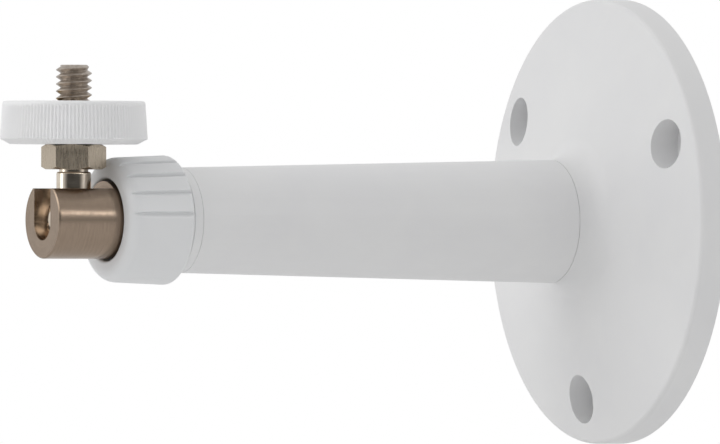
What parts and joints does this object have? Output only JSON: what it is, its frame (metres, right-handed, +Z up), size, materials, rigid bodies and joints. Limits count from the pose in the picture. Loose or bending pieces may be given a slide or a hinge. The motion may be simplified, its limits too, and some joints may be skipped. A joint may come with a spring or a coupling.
{
  "type": "camera wall bracket",
  "caption": "Wall bracket for a small camera: round screw-on flange, tapered arm, ball swivel locked by a fluted collar, and a tripod-thread screw with jam nut and thumbwheel.",
  "frame": {"origin": "centre of the flange's back face, on the wall", "axes": "+Z up; -Y along the arm, away from the wall; +Y into the wall"},
  "size_m": [0.08, 0.1231, 0.08],
  "materials": {
    "white_casing": "fine moulded texture",
    "white_grip": "moulded, slight sheen",
    "brushed_nickel": "turned and brushed nickel plate",
    "polished_nickel": "polished nickel plate",
    "plated_nut": "nickel plate, satin",
    "brass": "machined",
    "zinc_steel": "bright zinc plate",
    "spring_steel": "bright spring strip",
    "nylon": "turned nylon"
  },
  "bodies": {
    "bracket": {"wall_flange": "white_casing", "arm_tube": "white_casing", "tie_bolt": "zinc_steel", "tie_bolt_washer": "zinc_steel", "tie_bolt_lock_washer": "zinc_steel", "nose_insert": "brass", "clamp_nose": "white_casing"},
    "clamp": {"thrust_washer": "zinc_steel", "pressure_pad": "nylon", "disc_springs": "spring_steel"},
    "collar": {"locking_collar": "white_grip"},
    "barrel": {"ball_barrel": "brushed_nickel"},
    "ball": {"swivel_ball": "polished_nickel"},
    "stud": {"threaded_stud": "polished_nickel", "jam_nut": "plated_nut"},
    "wheel_bush": {"thumbwheel_bush": "brass"},
    "wheel": {"thumbwheel": "white_grip"}
  },
  "joints": [
    {"name": "clamp_slide", "type": "slide", "parent": "bracket", "child": "clamp", "axis": [0, 1, 0], "range_m": [-0.0015, 0.0005], "deforming": ["disc_springs"]},
    {"name": "collar_turn", "type": "hinge", "parent": "clamp", "child": "collar", "pos_m": [0, -0.09154, 0], "axis": [0, 1, 0], "range_deg": [-360, 120]},
    {"name": "barrel_turn", "type": "hinge", "parent": "clamp", "child": "barrel", "pos_m": [0, -0.11004, 0], "axis": [0, 1, 0], "continuous": true},
    {"name": "stud_tilt", "type": "hinge", "parent": "barrel", "child": "ball", "pos_m": [0, -0.11004, 0], "axis": [1, 0, 0], "range_deg": [0, 90]},
    {"name": "stud_turn", "type": "hinge", "parent": "ball", "child": "stud", "pos_m": [0, -0.11004, 0], "axis": [0, 0, 1], "continuous": true},
    {"name": "wheel_climb", "type": "slide", "parent": "stud", "child": "wheel_bush", "axis": [0, 0, 1], "range_m": [0, 0.00635]},
    {"name": "wheel_turn", "type": "hinge", "parent": "wheel_bush", "child": "wheel", "pos_m": [0, -0.11004, 0.02103], "axis": [0, 0, 1], "range_deg": [0, 1800]}
  ],
  "couplings": [
    {"joint": "collar_turn", "follows": "clamp_slide", "rad_per_m": 4188.8},
    {"joint": "wheel_climb", "follows": "wheel_turn", "m_per_rad": 0.00020213}
  ]
}
